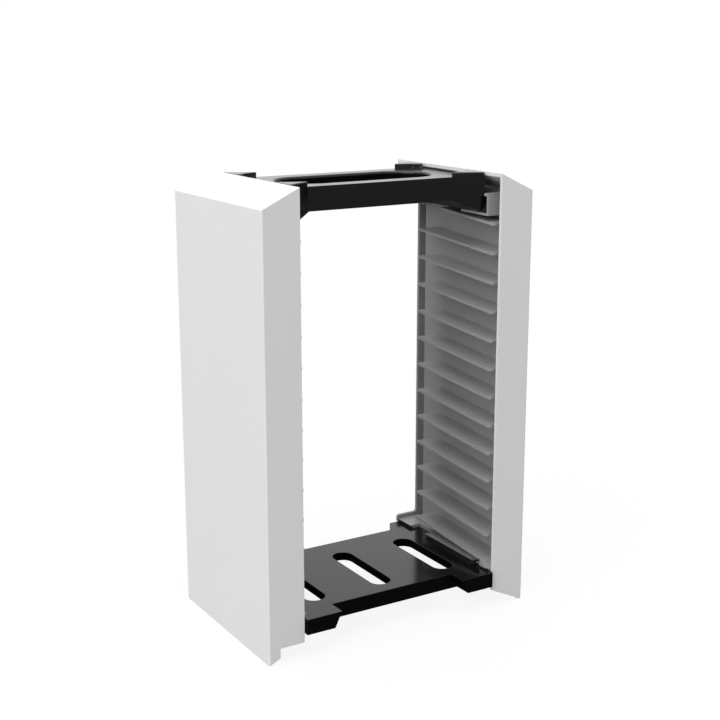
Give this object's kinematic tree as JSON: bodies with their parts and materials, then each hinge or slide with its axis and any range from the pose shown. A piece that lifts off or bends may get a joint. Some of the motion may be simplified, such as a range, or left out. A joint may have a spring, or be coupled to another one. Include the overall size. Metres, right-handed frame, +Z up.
{
  "type": "game storage rack",
  "caption": "Upright desktop rack with ledged side rails that hold flat game cases in an open bay, white side covers and black top and base trays.",
  "frame": {"origin": "on the floor, under the middle of the rack's footprint", "axes": "+X to the right seen from the front, +Y to the back, +Z up"},
  "size_m": [0.2326, 0.1456, 0.349],
  "materials": {
    "cover_plastic": "white, fine satin texture",
    "rail_plastic": "mid grey, satin",
    "tray_plastic": "black, high gloss",
    "screw_steel": "zinc plated"
  },
  "bodies": {
    "root": {"left_cover": "cover_plastic", "right_cover": "cover_plastic", "left_rail": "rail_plastic", "right_rail": "rail_plastic", "top_tray": "tray_plastic", "base_tray": "tray_plastic", "left_cover_screws": "screw_steel", "right_cover_screws": "screw_steel", "base_screws": "screw_steel", "tray_screws": "screw_steel"}
  },
  "joints": []
}
